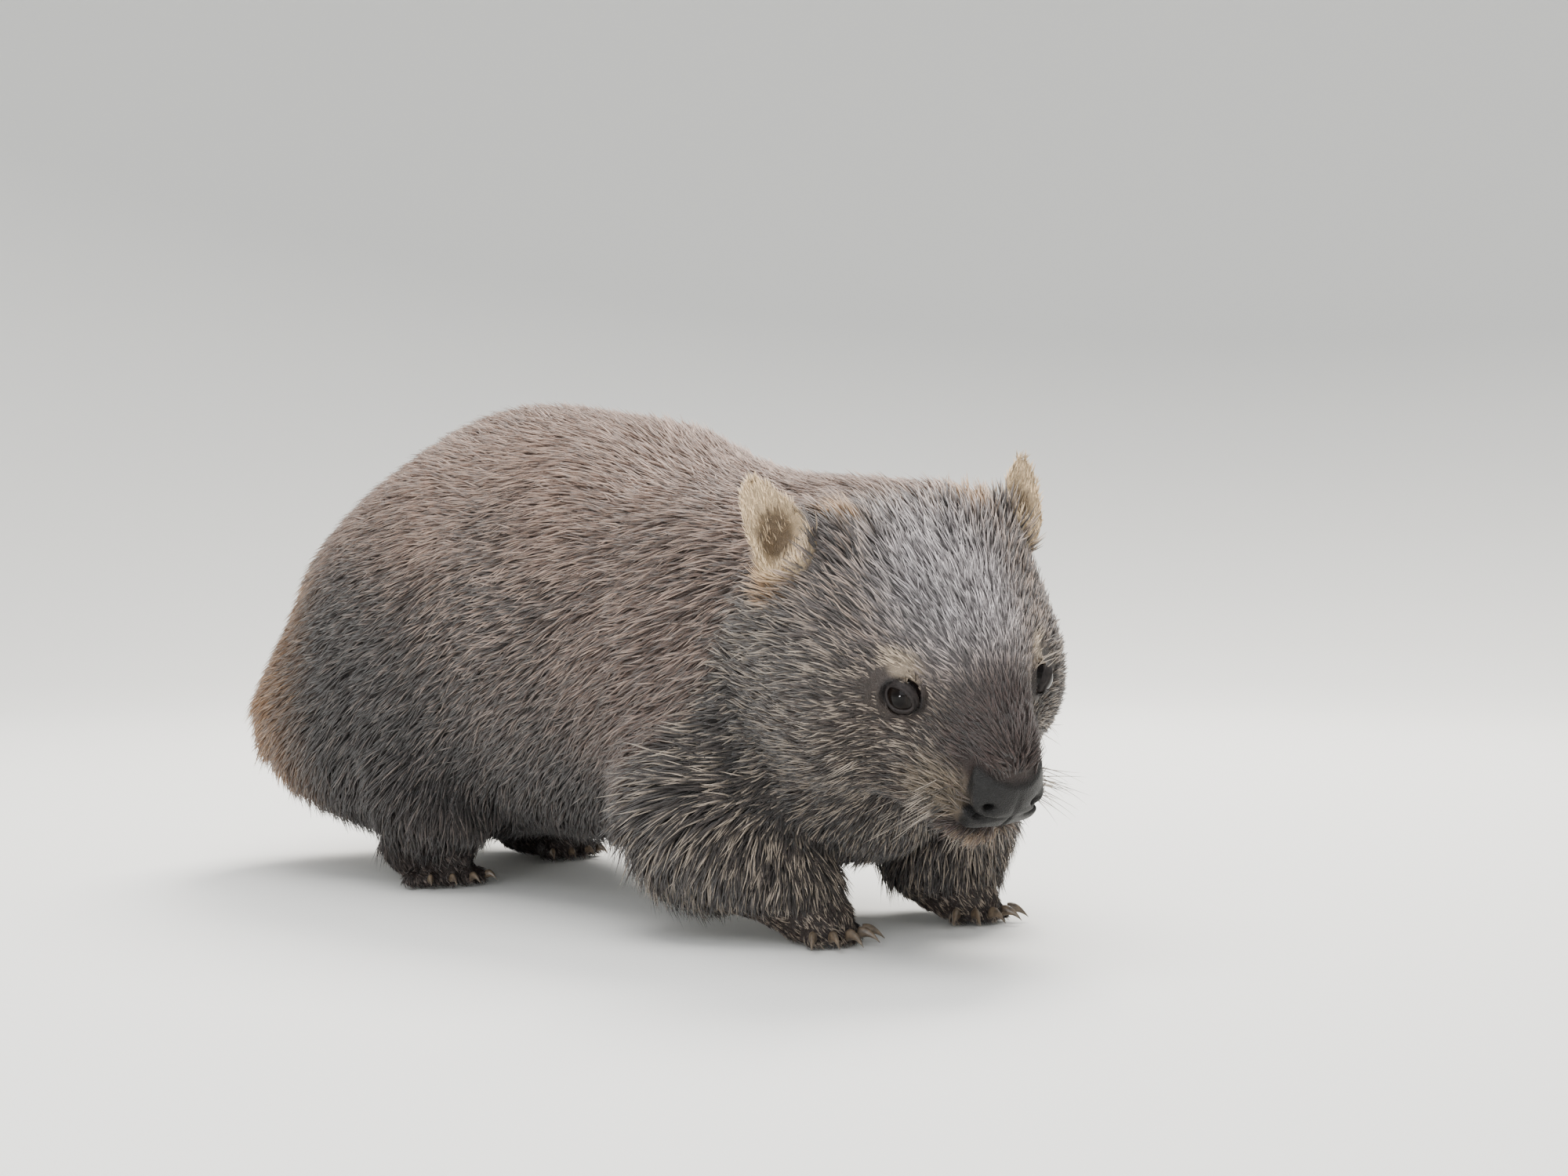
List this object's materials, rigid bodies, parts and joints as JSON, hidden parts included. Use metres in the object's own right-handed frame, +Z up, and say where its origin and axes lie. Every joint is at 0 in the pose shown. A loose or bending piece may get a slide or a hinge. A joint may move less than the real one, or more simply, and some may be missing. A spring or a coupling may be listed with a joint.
{
  "type": "common wombat museum model",
  "caption": "Life-size museum model of a young common wombat, walking slowly with its broad head lowered; stout body, short legs and a coarse grey-brown coat.",
  "frame": {"origin": "on the floor, under the middle of the part's box", "axes": "+X towards the head, +Y to the animal's left, +Z up"},
  "size_m": [0.7978, 0.3174, 0.349],
  "materials": {
    "coat": "coarse grey-brown fur with pale tips, darker on the flanks",
    "ear": "short cream fur over skin, dark inside",
    "foot": "short dark fur, bare leathery soles",
    "nose": "dark grey bare skin, finely pebbled, satin",
    "eye": "near-black, wet and glossy",
    "claw": "dark horn, satin"
  },
  "bodies": {
    "root": {"ear_left": "ear", "ear_right": "ear", "eye_left": "eye", "eye_right": "eye", "fore_leg_left": "coat", "fore_leg_right": "coat", "fore_paw_left": "foot", "fore_paw_left_claw_1": "claw", "fore_paw_left_claw_2": "claw", "fore_paw_left_claw_3": "claw", "fore_paw_left_claw_4": "claw", "fore_paw_left_claw_5": "claw", "fore_paw_right": "foot", "fore_paw_right_claw_1": "claw", "fore_paw_right_claw_2": "claw", "fore_paw_right_claw_3": "claw", "fore_paw_right_claw_4": "claw", "fore_paw_right_claw_5": "claw", "head": "coat", "hind_foot_left": "foot", "hind_foot_left_claw_1": "claw", "hind_foot_left_claw_2": "claw", "hind_foot_left_claw_3": "claw", "hind_foot_left_claw_4": "claw", "hind_foot_right": "foot", "hind_foot_right_claw_1": "claw", "hind_foot_right_claw_2": "claw", "hind_foot_right_claw_3": "claw", "hind_foot_right_claw_4": "claw", "hind_leg_left": "coat", "hind_leg_right": "coat", "neck": "coat", "nose": "nose", "tail": "coat", "torso": "coat"}
  },
  "joints": []
}
